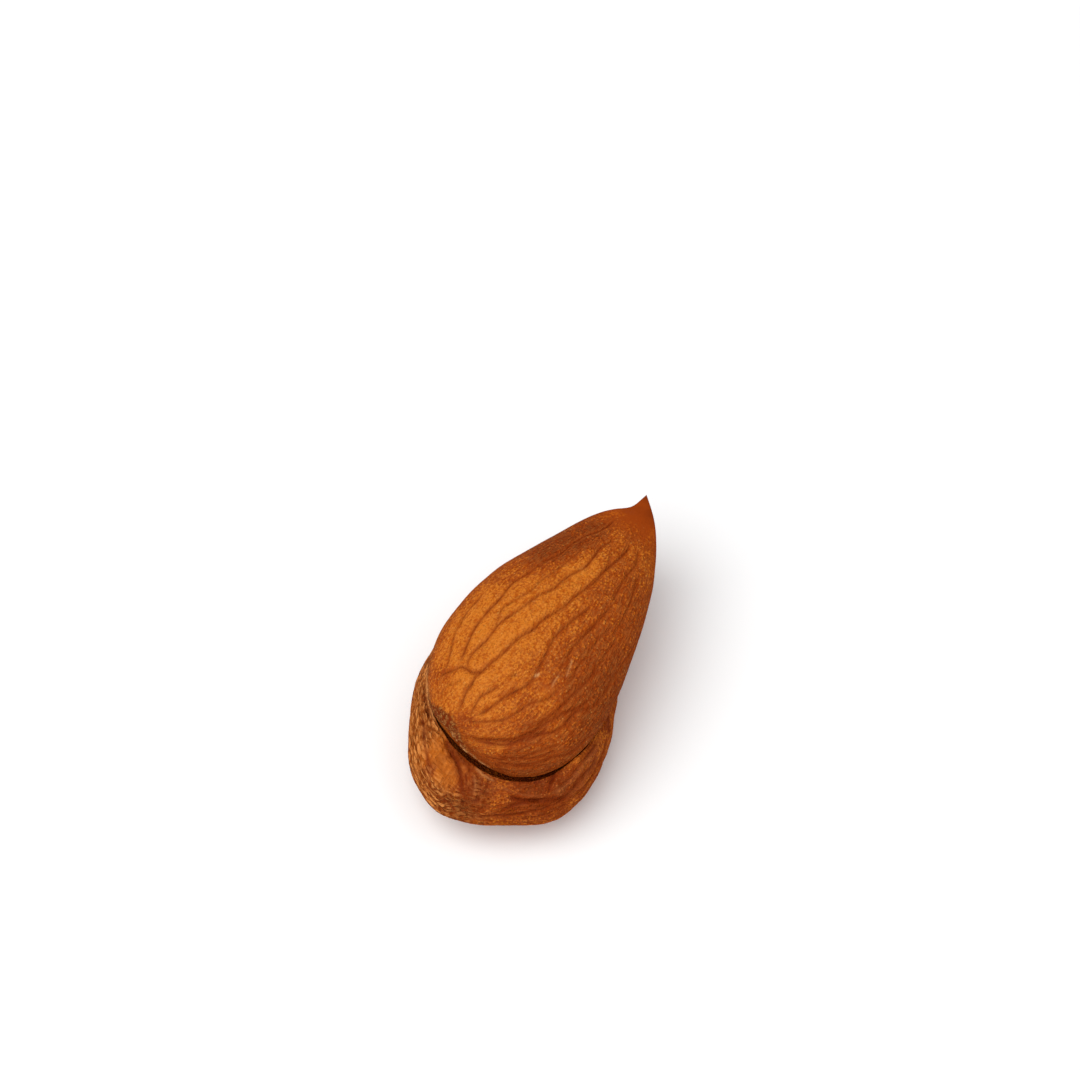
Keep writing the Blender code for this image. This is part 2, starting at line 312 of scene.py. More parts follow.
def offCurve(points, curve, shares, reach):
    # distance from each point to a curve, capped at reach, and how far along the curve that is
    distance = np.full(points.shape[:-1], float(reach))
    along = np.zeros(points.shape[:-1])
    close = ((points > curve.min(0) - reach) & (points < curve.max(0) + reach)).all(-1)
    some = points[close]
    found, where = [], []
    for part in np.array_split(some, max(len(some) // 8000, 1)):
        apart = (part**2).sum(1)[:, None] - 2 * part @ curve.T + (curve**2).sum(1)
        nearest = apart.argmin(1)
        found.append(np.sqrt(np.maximum(apart[np.arange(len(part)), nearest], 0)))
        where.append(shares[nearest])
    distance[close] = np.minimum(np.concatenate(found), reach)
    along[close] = np.concatenate(where)
    return distance, along


def taper(along, ends=0.12):
    # 1 along a line and 0 at its two ends
    return smoothStep(along, -0.02, ends) * (1 - smoothStep(along, 1 - ends, 1.02))


# Meshes

def closedSkin(name, points, masks, way):
    # a closed skin over a grid whose first and last rows are single points, with its masks as
    # float attributes and the direction of growth as a vector attribute
    rows, columns, _ = points.shape

    def flatten(grid):
        return np.concatenate([grid[:1, 0], grid[1:-1].reshape(-1, *grid.shape[2:]), grid[-1:, 0]])

    number = 1 + np.arange((rows - 2) * columns).reshape(rows - 2, columns)
    beside = np.roll(number, -1, axis=1)
    last = (rows - 2) * columns + 1
    quads = np.stack([number[:-1], number[1:], beside[1:], beside[:-1]], axis=-1).reshape(-1, 4)
    start = np.stack([np.zeros(columns, int), number[0], beside[0]], axis=-1)
    end = np.stack([np.full(columns, last), beside[-1], number[-1]], axis=-1)
    mesh = bpy.data.meshes.new(name)
    mesh.from_pydata(
        ((flatten(points) - frameOrigin) * mm).tolist(), [], start.tolist() + quads.tolist() + end.tolist()
    )
    for mask, values in masks.items():
        mesh.attributes.new(mask, "FLOAT", "POINT").data.foreach_set(
            "value", flatten(values).astype(np.float32)
        )
    mesh.attributes.new("way", "FLOAT_VECTOR", "POINT").data.foreach_set(
        "vector", flatten(way).astype(np.float32).ravel()
    )
    mesh.shade_smooth()
    made = bpy.data.objects.new(name, mesh)
    bpy.context.scene.collection.objects.link(made)
    print(name, "has", 2 * len(quads) + 2 * columns, "triangles")
    return made


# Upper kernel

upperKernel = {
    "rows": 300, "columns": 328, "topColumns": 222, "topFrom": -25, "topTo": 205,
    "undulation": 0.05, "wrinkle": 0.006, "edgeRedAndShade": 0.9, "hiddenVeins": 26, "hiddenDepth": 0.12,
    # depth, half width and redness of each vein, then its marks as (u, degrees)
    "veins": [
        (0.13, 0.11, 1.1, [(0.858, 113), (0.796, 113), (0.750, 121), (0.702, 123), (0.653, 122),
            (0.620, 125), (0.582, 125), (0.544, 126), (0.509, 128), (0.481, 127), (0.451, 126),
            (0.417, 127), (0.383, 127), (0.356, 127), (0.333, 126), (0.297, 123), (0.261, 121)]),
        (0.07, 0.10, 0.6, [(0.706, 109), (0.676, 110), (0.631, 110), (0.591, 111), (0.561, 112),
            (0.525, 112), (0.488, 115), (0.454, 118), (0.430, 119), (0.415, 117), (0.392, 116)]),
        (0.12, 0.12, 0.9, [(0.796, 91), (0.772, 94), (0.746, 97), (0.724, 96), (0.692, 95),
            (0.667, 95), (0.638, 98), (0.596, 100), (0.563, 101), (0.528, 105), (0.494, 107),
            (0.465, 109), (0.438, 111), (0.403, 114), (0.383, 114), (0.348, 114), (0.311, 116),
            (0.287, 116), (0.270, 114), (0.265, 109)]),
        (0.16, 0.13, 1.0, [(0.816, 73), (0.794, 71), (0.764, 73), (0.734, 76), (0.705, 79),
            (0.672, 80), (0.644, 81), (0.617, 83), (0.590, 85), (0.561, 86), (0.529, 88),
            (0.499, 91), (0.472, 93), (0.445, 94), (0.417, 97), (0.372, 99), (0.340, 100),
            (0.304, 102), (0.283, 103), (0.261, 104), (0.238, 103), (0.221, 103), (0.188, 100),
            (0.140, 96)]),
        (0.14, 0.13, 1.0, [(0.283, 103), (0.263, 109), (0.254, 118), (0.239, 121), (0.218, 127),
            (0.197, 133)]),
        (0.17, 0.13, 1.2, [(0.592, 71), (0.571, 73), (0.551, 75), (0.523, 77), (0.495, 79),
            (0.469, 80), (0.452, 80), (0.433, 79), (0.408, 78), (0.389, 77), (0.352, 75),
            (0.330, 76), (0.309, 78), (0.284, 80), (0.255, 81), (0.225, 82), (0.187, 83)]),
        (0.12, 0.11, 1.0, [(0.572, 61), (0.538, 63), (0.506, 65), (0.474, 66), (0.445, 67)]),
        (0.10, 0.12, 0.9, [(0.599, 10), (0.550, 19), (0.502, 23), (0.457, 25)]),
        (0.08, 0.22, 1.1, [(0.490, 43), (0.430, 47), (0.380, 50), (0.330, 51), (0.290, 53)]),
        (0.08, 0.16, 1.1, [(0.173, 38), (0.215, 33), (0.255, 28), (0.293, 26)]),
        (0.07, 0.18, 1.1, [(0.160, 27), (0.190, 24), (0.215, 22), (0.255, 16)]),
        (0.09, 0.14, 1.1, [(0.180, 57), (0.198, 55), (0.239, 49), (0.272, 46), (0.309, 46)]),
        (0.12, 0.12, 0.9, [(0.289, 88), (0.261, 90), (0.236, 92), (0.207, 90), (0.171, 86)]),
        (0.09, 0.12, 0.7, [(0.446, 143), (0.410, 143), (0.376, 144), (0.345, 142), (0.315, 141),
            (0.293, 138), (0.269, 135), (0.248, 132), (0.225, 131), (0.204, 130)]),
        (0.06, 0.12, 0.5, [(0.231, 111), (0.210, 115), (0.186, 120), (0.160, 124), (0.132, 121)]),
        (0.09, 0.12, 0.7, [(0.814, 57), (0.792, 55), (0.762, 54), (0.731, 58), (0.697, 59),
            (0.674, 59), (0.645, 59)]),
        (0.08, 0.12, 0.7, [(0.746, 45), (0.715, 44), (0.687, 42), (0.652, 42), (0.617, 42),
            (0.578, 44)]),
        (0.07, 0.10, 0.5, [(0.754, 84), (0.733, 82), (0.705, 79)]),
        (0.11, 0.11, 0.9, [(0.638, 57), (0.588, 60), (0.547, 62), (0.505, 65), (0.476, 66),
            (0.449, 67), (0.430, 66), (0.416, 66)]),
        (0.10, 0.11, 0.8, [(0.596, 48), (0.546, 53), (0.513, 55), (0.479, 56), (0.458, 57),
            (0.434, 56), (0.406, 57)]),
        (0.10, 0.11, 0.8, [(0.578, 38), (0.528, 42), (0.501, 43), (0.472, 45), (0.442, 48),
            (0.415, 51), (0.389, 53)]),
        (0.09, 0.13, 0.7, [(0.575, 23), (0.548, 23), (0.524, 25), (0.497, 26), (0.471, 26),
            (0.442, 26), (0.406, 30)]),
        (0.10, 0.14, 0.9, [(0.388, 59), (0.338, 62), (0.316, 66), (0.299, 67), (0.271, 68),
            (0.245, 69), (0.222, 72), (0.189, 77), (0.151, 83)]),
        (0.11, 0.20, 1.2, [(0.432, 35), (0.382, 41), (0.360, 45), (0.338, 47), (0.314, 49),
            (0.286, 50), (0.257, 52), (0.232, 53), (0.205, 56), (0.178, 59), (0.152, 61),
            (0.112, 66)]),
        (0.11, 0.20, 1.2, [(0.410, 31), (0.375, 39), (0.349, 39), (0.319, 40), (0.294, 44),
            (0.276, 48), (0.254, 50), (0.219, 50), (0.192, 52), (0.165, 56), (0.122, 59)]),
        (0.07, 0.18, 0.9, [(0.306, 28), (0.281, 32), (0.256, 34), (0.232, 35), (0.208, 34),
            (0.180, 34), (0.156, 34), (0.126, 32)]),
        (0.08, 0.20, 1.0, [(0.376, 11), (0.328, 11), (0.304, 14), (0.283, 20), (0.260, 22),
            (0.237, 23), (0.210, 25), (0.176, 26), (0.148, 24)]),
    ],
    # the scab where the kernel hung in its shell: its marks, and its half width at each
    "scab": [(0.125, 185), (0.093, 177), (0.062, 142), (0.064, 108), (0.071, 85), (0.066, 62),
        (0.067, 38), (0.072, 18)],
    "scabWidth": [0.10, 0.24, 0.46, 0.58, 0.55, 0.42, 0.28, 0.12],
    "beads": [(0.052, 75), (0.050, 52), (0.056, 36), (0.067, 25), (0.086, 16), (0.112, 6), (0.137, 2)],
    "scars": [[(0.458, 63), (0.437, 61), (0.414, 60)], [(0.408, 64), (0.391, 64), (0.374, 63)]],
    "chip": [(0.366, 75.3), (0.370, 75), (0.374, 74.5)],
    "pit": [(0.325, 86), (0.328, 86), (0.333, 85)],
    # places pressed in: (u, degrees), radius and depth
    "dents": [((0.935, 122), 0.75, 0.16)],
    # smooth places without grain: (u, degrees), radius
    "smooth": [((0.90, 75), 1.3), ((0.87, 55), 1.0), ((0.370, 66), 0.5)],
    # broad tone: (u, degrees), radius, and gold above 0 or red below 0
    # the red spots along the upper left edge, from u 0.5 to 0.8 at 113 to 132 degrees, are partly the skin's red and
    # partly painted shadow of a neighbouring almond that lay against it
    "tones": [
        ((0.30, 100), 4.5, 0.5), ((0.40, 120), 4.0, 0.45), ((0.55, 92), 3.5, 0.35),
        ((0.70, 127), 2.6, -1.7), ((0.60, 50), 3.5, -0.3), ((0.46, 32), 4.5, -1.2),
        ((0.25, 45), 3.0, -0.25), ((0.12, 50), 2.0, -0.3), ((0.90, 80), 2.0, -0.2),
        ((0.18, 28), 1.3, -1.3), ((0.15, 84), 0.8, -0.7), ((0.16, 130), 1.2, -0.2),
        ((0.66, 97), 1.6, 1.0), ((0.72, 50), 1.4, -0.4), ((0.35, 60), 0.9, 0.8),
        ((0.22, 76), 0.9, 0.4), ((0.266, 50), 0.8, -1.2), ((0.26, 15), 1.4, -0.9),
        ((0.23, 98), 1.3, 0.4), ((0.19, 52), 0.6, 0.6), ((0.40, 28), 2.2, -0.7),
        ((0.20, 24), 1.0, -0.8), ((0.40, 45), 1.2, -0.2), ((0.60, 100), 1.2, 0.5),
        ((0.149, 60), 0.5, 1.3), ((0.192, 52), 0.5, 1.2), ((0.644, 73), 1.0, -0.7),
        ((0.652, 36), 1.5, -0.4), ((0.695, 96), 0.8, 0.9), ((0.777, 86), 0.8, 0.7),
        ((0.353, 59), 0.8, 0.6), ((0.332, 41), 0.7, 0.6), ((0.41, 115), 0.9, -0.3),
        ((0.62, 131), 1.2, -1.2), ((0.87, 125), 1.0, -0.3), ((0.829, 68), 0.8, -0.3),
        ((0.513, 132), 0.8, -0.5), ((0.594, 101), 0.7, -0.6), ((0.777, 86), 0.6, -0.5),
        ((0.695, 96), 0.6, -0.5), ((0.353, 59), 0.6, -0.7), ((0.30, 109), 0.8, -0.5),
        ((0.79, 116), 0.9, -1.3), ((0.70, 124), 0.9, -0.7), ((0.52, 142), 1.0, -0.3), ((0.32, 21), 0.7, -0.3), ((0.19, 31), 0.5, -0.9),
        ((0.195, 135), 0.7, -0.5), ((0.32, 124), 0.8, -0.3), ((0.72, 42), 1.3, -0.4),
        ((0.15, 85), 0.5, -0.4), ((0.10, 34), 0.4, -0.6), ((0.90, 60), 1.2, -0.4), ((0.41, 18), 1.0, 0.3), ((0.50, 36), 0.8, -0.4),
    ],
}


def hiddenVeins(turn, along, half, count):
    # evenly spaced lines that wander: distance in millimetres to the nearest, from the turn's share
    pitch = 2 * np.pi * np.maximum(half, 0.5) / count
    where = turn * count / (2 * np.pi)
    return np.abs(where - np.round(where)) * pitch


def makeUpper(look):
    even = np.linspace(0, 1, look["rows"])
    u = 0.45 * even + 0.55 * (1 - np.cos(np.pi * even)) / 2
    turn = np.interp(
        np.arange(look["columns"]),
        [0, look["topColumns"], look["columns"]],
        [look["topFrom"], look["topTo"], look["topFrom"] + 360],
    )
    u, degrees = np.meshgrid(u, turn, indexing="ij")
    angle = np.radians(degrees)
    points = upperSurface(u, angle)
    way = np.stack([4.5 * np.cos(angle), 4.5 * np.sin(angle), 23 * u], axis=-1)
    ends = smoothStep(u, 0.01, 0.10) * (1 - smoothStep(u, 0.88, 0.99))
    height = look["undulation"] * slopeNoise(points, 2.6, 1) * ends
    height -= look["wrinkle"] * ends * creaseNet(way * [1, 1, 0.3], 0.35, 0.2, 2)
    for spot, radius, amount in look["dents"]:
        centre = upperSurface(np.array([spot[0]]), np.radians([spot[1]]))[0]
        height -= amount * hill(np.linalg.norm(points - centre, axis=-1), radius)
    vein = np.zeros_like(u)
    flush = np.zeros_like(u)
    wander = 0.75 + 0.25 * slopeNoise(points, 0.9, 3)
    for depth, width, red, marks in look["veins"]:
        curve, shares = splineOn(lambda a, b: upperSurface(a, np.radians(b)), marks)
        off, along = offCurve(points, curve, shares, 2.0)
        strength = taper(along, 0.06) * wander * (1 + 0.25 * smoothStep(u, 0.5, 0.75))
        height -= depth * strength * (0.7 * hill(off, 0.8 * width) + 0.45 * hill(off, 2.6 * width))
        vein = np.maximum(vein, 1.25 * red * strength * hill(off, 0.6 * width))
        flush = np.maximum(flush, 0.8 * red * np.minimum(strength, 1) * hill(off**2, (1.9 * width) ** 2))
    unseen = 1 - smoothStep(degrees, -8, 18) + smoothStep(degrees, 150, 175)
    middle, half = widthAt(upperShape, points[..., 1])
    drift = 0.09 * slopeNoise(way, 4.0, 4) + 0.03 * slopeNoise(way, 1.5, 5)
    line = hiddenVeins(angle + drift, u, half, look["hiddenVeins"])
    veined = unseen * ends * (0.6 + 0.4 * slopeNoise(way, 2.0, 6))
    height -= look["hiddenDepth"] * veined * hill(line, 0.15)
    vein = np.maximum(vein, 0.7 * veined * hill(line, 0.13))
    flush = np.maximum(flush, 0.7 * veined * hill(line, 0.4))

    curve, shares = splineOn(lambda a, b: upperSurface(a, np.radians(b)), look["scab"])
    off, along = offCurve(points, curve, shares, 2.0)
    stations = np.linspace(0, 1, len(look["scabWidth"]))
    wide = np.interp(along, stations, look["scabWidth"])
    lumps = 0.5 + 0.5 * slopeNoise(points, 0.25, 7)
    scab = smoothStep(hill(off, wide) + 0.35 * (lumps - 0.5), 0.2, 0.6)
    curve, shares = splineOn(lambda a, b: upperSurface(a, np.radians(b)), look["beads"])
    off, along = offCurve(points, curve, shares, 2.0)
    beads = taper(along) * hill(off, 0.12) * (0.6 + 0.6 * lumps)
    height = height * (1 - scab) + scab * (0.02 + 0.12 * lumps) + 0.08 * beads

    pale = 0.75 * beads * smoothStep(lumps, 0.3, 0.65)
    shade = 0.25 * hill(off, 0.7) * (1 - scab)
    band = hill(off - 0.35, 0.5) * taper(along, 0.2) * (1 - scab) * (1 - beads)
    flush = np.maximum(flush, band)
    shade = np.maximum(shade, 0.4 * band)
    shade = np.maximum(shade, 0.5 * smoothStep(-np.sin(angle), 0.06, 0.4) * (points[..., 1] < 7))
    for marks in look["scars"]:
        curve, shares = splineOn(lambda a, b: upperSurface(a, np.radians(b)), marks)
        off, along = offCurve(points, curve, shares, 1.0)
        turned = np.interp(u, *np.array(marks)[::-1].T)
        beside = np.clip((degrees - turned) * 2, 0, 1)  # the groove runs on the scar's left side
        height += 0.05 * hill(off, 0.07) - 0.05 * hill(off - 0.15, 0.08) * beside
        pale = np.maximum(pale, 0.42 * taper(along) * hill(off, 0.06))
        shade = np.maximum(shade, 0.45 * taper(along) * hill(off - 0.14, 0.07) * beside)
    curve, shares = splineOn(lambda a, b: upperSurface(a, np.radians(b)), look["chip"])
    off, along = offCurve(points, curve, shares, 1.0)
    height += 0.05 * hill(off, 0.09) ** 2
    pale = np.maximum(pale, smoothStep(0.10 - off, 0.0, 0.06))
    curve, shares = splineOn(lambda a, b: upperSurface(a, np.radians(b)), look["pit"])
    off, along = offCurve(points, curve, shares, 1.0)
    height -= 0.06 * hill(off, 0.14)
    shade = np.maximum(shade, 0.45 * hill(off, 0.14))

    tone = np.zeros_like(u)
    for spot, radius, amount in look["tones"]:
        centre = upperSurface(np.array([spot[0]]), np.radians([spot[1]]))[0]
        tone += amount * hill(np.linalg.norm(points - centre, axis=-1), radius)
    # the left and right edges go darker and redder: partly the skin's own redder edge, partly painted shade for the
    # dark rim where the kernel turns away
    edgeRedAndShade = smoothStep(degrees, 138, 172) + 0.7 * (1 - smoothStep(degrees, 5, 30))
    tone -= look["edgeRedAndShade"] * np.clip(edgeRedAndShade, 0, 1)
    smooth = np.zeros_like(u)
    for spot, radius in look["smooth"]:
        centre = upperSurface(np.array([spot[0]]), np.radians([spot[1]]))[0]
        smooth = np.maximum(smooth, hill(np.linalg.norm(points - centre, axis=-1), radius))
    tone -= 0.3 * smooth
    smooth = np.maximum(0.7 * smooth, smoothStep(u, 0.80, 0.92))
    tipped = smoothStep(u, 0.93, 1.0)
    flush = np.maximum(flush, 0.7 * tipped)
    tone -= 1.0 * smoothStep(u, 0.89, 0.97)
    shade = np.maximum(shade, 0.12 * smoothStep(u, 0.89, 0.95) + 0.5 * smoothStep(u, 0.96, 1.0))
    wrinkled = 0.12 + 0.4 * smoothStep(degrees, 150, 180) * (1 - smoothStep(u, 0.25, 0.45))
    wrinkled = wrinkled * (1 - smoothStep(u, 0.78, 0.9))
    # the underside, which lies in the lower kernel's hollow, is toned darker: painted shade
    under = smoothStep(degrees, 195, 220) * (1 - smoothStep(degrees, 320, 345))
    tone = tone - 0.2 * under
    masks = {
        "vein": np.clip(vein, 0, 1), "flush": np.clip(flush, 0, 1), "cork": np.clip(np.maximum(scab, 0.9 * beads), 0, 1),
        "wrinkled": wrinkled, "smooth": smooth, "pale": np.clip(pale, 0, 1), "shade": np.clip(shade, 0, 1), "tone": np.clip(0.5 + 0.5 * tone, -0.4, 1),
    }
    points = points + outwardNormals(points) * height[..., None]
    return closedSkin("upper_kernel_skin", points, masks, way * [1, 1, 0.3])


# Lower kernel

lowerKernel = {
    "bellyRows": 116, "shoulderRows": 66, "hollowRows": 26, "columns": 470,
    "seenFrom": 0.28, "seenTo": 0.74, "seenColumns": 335,
    "undulation": 0.06, "wrinkle": 0.04, "fold": 0.06, "veins": 24, "veinDepth": 0.12,
    # places pressed in: (share of the rim, level), radius and depth
    "dents": [((0.552, 0.14), 1.2, 0.18), ((0.578, 0.14), 1.2, 0.18), ((0.341, 0.42), 1.2, 0.15),
        ((0.445, 0.19), 1.2, 0.18)],
    "valley": {"atRim": -80.0, "atCrest": -103.0, "spread": 6.5, "depth": 0.4},
    # up is how far a line stands over the skin, or under it below 0. Then its half width, its
    # redness, paleness and shade, and its marks as (share of the rim, level)
    "lines": {
        # a thin pale line on a low ridge along the lip's crest: a painted highlight where the rounded lip catches the
        # light
        "lipEdgeHighlight": (0.06, 0.08, 0.0, 0.55, 0.0, [(0.497, 0.99), (0.505, 0.97), (0.516, 0.94),
            (0.526, 0.93), (0.533, 0.92)]),
        "shelfEdge": (0.05, 0.08, 0.0, 0.08, 0.0, [(0.540, 0.90), (0.549, 0.84), (0.563, 0.79),
            (0.576, 0.73), (0.588, 0.70), (0.601, 0.65)]),
        "lipCrease": (-0.12, 0.12, 0.8, 0.0, 0.5, [(0.554, 0.74), (0.564, 0.68), (0.576, 0.64),
            (0.591, 0.61), (0.605, 0.58), (0.621, 0.52)]),
        "mouthEnd": (-0.18, 0.15, 1.1, 0.0, 0.6, [(0.620, 1.00), (0.614, 0.92), (0.609, 0.81),
            (0.606, 0.72)]),
        "lowGroove": (-0.16, 0.18, 1.0, 0.0, 0.35, [(0.542, 0.32), (0.553, 0.44), (0.564, 0.54),
            (0.583, 0.59), (0.601, 0.54), (0.620, 0.44), (0.638, 0.42), (0.656, 0.47),
            (0.677, 0.45), (0.699, 0.42)]),
        "rimGroove": (-0.12, 0.16, 0.9, 0.0, 0.25, [(0.512, 0.07), (0.537, 0.23), (0.560, 0.29),
            (0.583, 0.37), (0.607, 0.38), (0.627, 0.37), (0.648, 0.38)]),
        "shortGroove": (-0.08, 0.12, 0.8, 0.0, 0.15, [(0.554, 0.38), (0.571, 0.47), (0.595, 0.47),
            (0.610, 0.42)]),
        "highGroove": (-0.14, 0.13, 0.9, 0.0, 0.35, [(0.623, 0.69), (0.642, 0.71), (0.662, 0.76),
            (0.683, 0.77), (0.704, 0.74)]),
        "outerGroove": (-0.08, 0.13, 0.7, 0.0, 0.15, [(0.641, 0.17), (0.659, 0.21), (0.681, 0.25),
            (0.705, 0.27), (0.727, 0.34)]),
        "brightRidge": (0.10, 0.20, 0.0, 0.15, 0.0, [(0.612, 0.60), (0.626, 0.62), (0.643, 0.64),
            (0.662, 0.68), (0.683, 0.68), (0.706, 0.63)]),
        "outerRidge": (0.06, 0.15, 0.0, 0.1, 0.0, [(0.628, 0.35), (0.648, 0.38), (0.668, 0.42),
            (0.690, 0.44), (0.713, 0.43)]),
        "valleyFloor": (-0.18, 0.17, 1.1, 0.0, 0.45, [(0.427, 0.97), (0.440, 0.96), (0.454, 0.93),
            (0.468, 0.89), (0.482, 0.81), (0.491, 0.68), (0.500, 0.53)]),
        "mouthShade": (0.02, 0.26, 0.8, 0.0, 0.38, [(0.446, 0.97), (0.458, 0.96), (0.472, 0.95),
            (0.486, 0.94), (0.498, 0.92)]),
        "leftGroove": (-0.08, 0.10, 1.0, 0.0, 0.4, [(0.336, 0.79), (0.354, 0.85), (0.371, 0.88),
            (0.386, 0.88)]),
        "stripGroove": (-0.07, 0.10, 0.9, 0.0, 0.2, [(0.372, 0.72), (0.390, 0.72), (0.407, 0.67),
            (0.433, 0.60), (0.448, 0.50)]),
        "foldA": (-0.09, 0.09, 1.0, 0.0, 0.3, [(0.487, 0.86), (0.496, 0.73), (0.500, 0.56)]),
        "foldB": (-0.09, 0.09, 1.0, 0.0, 0.3, [(0.499, 0.87), (0.506, 0.74), (0.509, 0.51)]),
        "foldC": (-0.09, 0.09, 1.0, 0.0, 0.3, [(0.510, 0.87), (0.517, 0.72), (0.516, 0.49)]),
        "wedge": (-0.10, 0.20, 1.1, 0.0, 0.5, [(0.495, 0.44), (0.507, 0.46), (0.521, 0.59)]),
        "foldRidge": (0.06, 0.10, 0.0, 0.2, 0.0, [(0.500, 0.89), (0.508, 0.76), (0.510, 0.62)]),
        "shelfDark": (-0.10, 0.16, 1.2, 0.0, 0.45, [(0.553, 0.69), (0.570, 0.65), (0.588, 0.60),
            (0.608, 0.55)]),
        "patchEdge": (-0.08, 0.12, 0.7, 0.0, 0.1, [(0.539, 0.81), (0.532, 0.64), (0.526, 0.45),
            (0.519, 0.25)]),
        "patchRidge": (0.06, 0.25, 0.0, 0.0, 0.0, [(0.528, 0.74), (0.539, 0.72), (0.549, 0.64)]),
        "seamEdge": (0.08, 0.10, 0.0, 0.75, 0.0, [(0.302, 0.79), (0.324, 0.94), (0.344, 0.98),
            (0.363, 0.98), (0.380, 0.98), (0.397, 0.98)]),
        "rightEdge": (-0.05, 0.16, 1.1, 0.0, 0.5, [(0.758, 0.80), (0.750, 0.70), (0.742, 0.52),
            (0.733, 0.30)]),
        "rightSeam": (0.05, 0.08, 0.0, 0.4, 0.0, [(0.762, 0.97), (0.754, 0.96), (0.746, 0.96),
            (0.738, 0.95)]),
        "seamGroove": (-0.06, 0.10, 0.6, 0.0, 0.1, [(0.328, 0.84), (0.348, 0.86), (0.368, 0.89),
            (0.384, 0.88)]),
        "scar": (-0.06, 0.2, 0.3, 0.0, 0.15, [(0.494, 0.34), (0.504, 0.26), (0.510, 0.12)]),
        "scarLine": (-0.06, 0.12, 0.6, 0.0, 0.15, [(0.470, 0.37), (0.483, 0.32), (0.496, 0.26),
            (0.506, 0.17)]),
    },
    # broad tone: (share of the rim, level), radius, and gold above 0 or red below 0
    "tones": [
        ((0.440, 0.86), 0.9, 1.6), ((0.463, 0.66), 1.3, 1.1), ((0.508, 0.6), 1.0, -0.9),
        ((0.535, 0.6), 0.7, -0.1), ((0.505, 0.26), 0.8, -0.7), ((0.548, 0.32), 0.8, -0.5),
        ((0.569, 0.84), 0.6, -0.4), ((0.623, 0.72), 0.7, -1.2), ((0.647, 0.68), 0.7, -0.9),
        ((0.350, 0.75), 0.7, 1.0), ((0.382, 0.48), 0.8, 1.2), ((0.69, 0.68), 0.8, -0.5), ((0.73, 0.69), 0.6, -0.6),
        ((0.455, 0.39), 0.7, -0.4), ((0.444, 0.55), 0.5, -1.6), ((0.513, 0.29), 0.8, -0.7), ((0.475, 0.31), 0.6, -0.6),
        ((0.487, 0.57), 0.5, -0.5), ((0.521, 0.82), 0.5, -0.5), ((0.607, 0.41), 0.8, -0.4),
        ((0.59, 0.84), 1.5, -1.1), ((0.60, 0.45), 1.6, -0.5),
        ((0.66, 0.70), 1.1, 0.6), ((0.71, 0.70), 1.2, 0.5), ((0.475, 0.28), 1.2, 0.0),
        ((0.37, 0.6), 2.6, 0.9), ((0.42, 0.3), 2.0, 0.6), ((0.70, 0.1), 2.5, -0.3),
    ],
}


